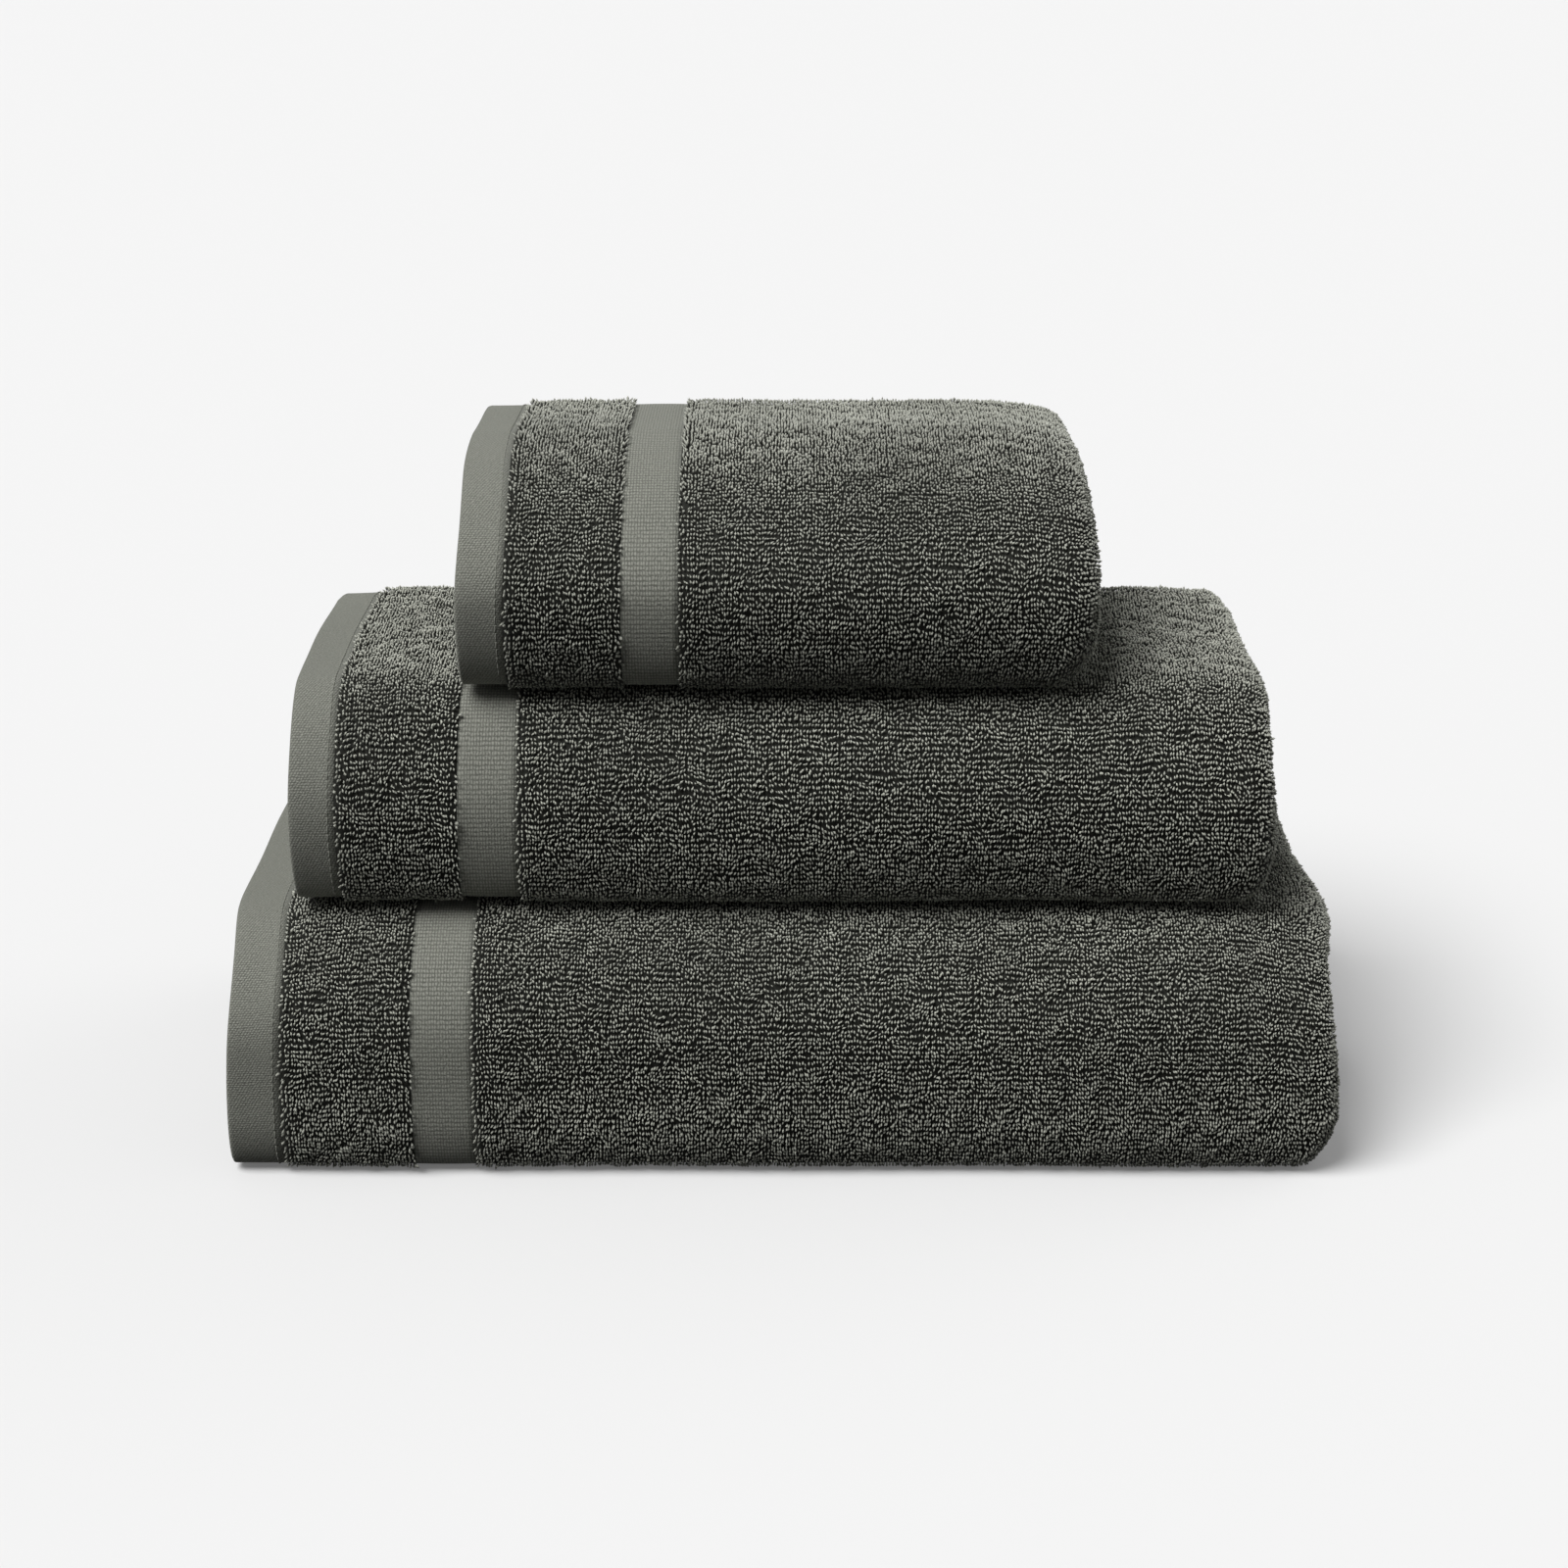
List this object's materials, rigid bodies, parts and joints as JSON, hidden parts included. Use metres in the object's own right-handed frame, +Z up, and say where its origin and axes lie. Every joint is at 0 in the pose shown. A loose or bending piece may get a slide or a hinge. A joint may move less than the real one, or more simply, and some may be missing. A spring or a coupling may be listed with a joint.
{
  "type": "bath towel set",
  "caption": "Folded cotton terry towels in descending sizes, stacked with their smooth front folds aligned and their woven bands at the left; the upper towels lift off.",
  "frame": {"origin": "centre of the bath sheet's underside, where the stack stands", "axes": "+X along the folded length from the hemmed end to the folded end, +Y from the front folds to the back, +Z up"},
  "size_m": [0.4, 0.225, 0.2498],
  "materials": {
    "terry": "matte",
    "flat_weave": "matte",
    "sewing_thread": "matte"
  },
  "bodies": {
    "bath_sheet": {"bath_sheet_terry_field": "terry", "bath_sheet_border_strip": "terry", "bath_sheet_woven_band": "flat_weave", "bath_sheet_end_hem": "flat_weave", "bath_sheet_end_hem_thread": "sewing_thread", "bath_sheet_far_end_border": "flat_weave", "bath_sheet_inner_folds": "terry", "bath_sheet_side_hems": "flat_weave", "bath_sheet_side_hem_thread": "sewing_thread"},
    "bath_towel": {"bath_towel_terry_field": "terry", "bath_towel_border_strip": "terry", "bath_towel_woven_band": "flat_weave", "bath_towel_end_hem": "flat_weave", "bath_towel_end_hem_thread": "sewing_thread", "bath_towel_far_end_border": "flat_weave", "bath_towel_inner_folds": "terry", "bath_towel_side_hems": "flat_weave", "bath_towel_side_hem_thread": "sewing_thread"},
    "hand_towel": {"hand_towel_terry_field": "terry", "hand_towel_border_strip": "terry", "hand_towel_woven_band": "flat_weave", "hand_towel_end_hem": "flat_weave", "hand_towel_end_hem_thread": "sewing_thread", "hand_towel_far_end_border": "flat_weave", "hand_towel_inner_folds": "terry", "hand_towel_side_hems": "flat_weave", "hand_towel_side_hem_thread": "sewing_thread"}
  },
  "joints": [
    {"name": "bath_towel_lift", "type": "slide", "parent": "bath_sheet", "child": "bath_towel", "axis": [0, 0, 1], "range_m": [0, 0.12]},
    {"name": "hand_towel_lift", "type": "slide", "parent": "bath_towel", "child": "hand_towel", "axis": [0, 0, 1], "range_m": [0, 0.12]}
  ]
}
